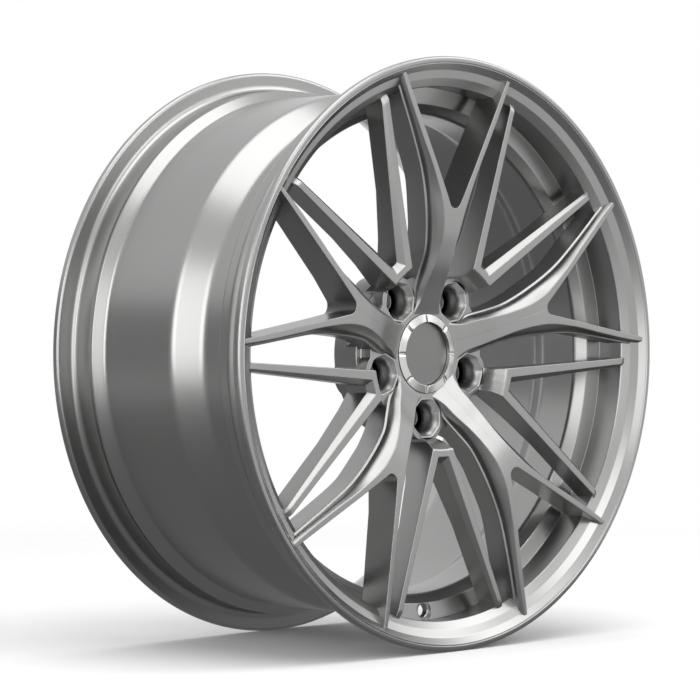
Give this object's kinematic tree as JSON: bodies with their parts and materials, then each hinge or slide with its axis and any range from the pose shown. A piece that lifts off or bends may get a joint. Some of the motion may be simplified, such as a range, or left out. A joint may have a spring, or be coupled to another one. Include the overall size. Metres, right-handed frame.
{
  "type": "wheel rim",
  "caption": "Forged alloy wheel rim with forked main spokes between V spoke pairs, lug holes in pockets, a hub bore and a snap-in centre cap.",
  "frame": {"origin": "the wheel's centre on its spin axis, midway between the two flanges", "axes": "+Y is the spin axis and points inboard, towards the vehicle; the outboard face looks along -Y; +Z runs along one forked main spoke, and the valve hole lies at -Z"},
  "size_m": [0.522, 0.2446, 0.522],
  "materials": {
    "barrel_alloy": "satin, turned",
    "centre_alloy": "satin, brushed",
    "seat_steel": "turned",
    "ring_plastic": "moulded",
    "cap_plastic": "moulded",
    "cap_alloy": "satin, turned",
    "disc_alloy": "satin",
    "spring_steel": "rolled strip"
  },
  "bodies": {
    "wheel": {"rim_barrel": "barrel_alloy", "spoke_centre": "centre_alloy", "lug_seat_inserts": "seat_steel", "hub_centric_ring": "ring_plastic"},
    "centre_cap": {"cap_body": "cap_plastic", "cap_ring": "cap_alloy", "cap_face_disc": "disc_alloy", "cap_spring_ring": "spring_steel"}
  },
  "joints": [
    {"name": "cap_pull", "type": "slide", "parent": "wheel", "child": "centre_cap", "axis": [0, -1, 0], "range_m": [0, 0.03]}
  ]
}
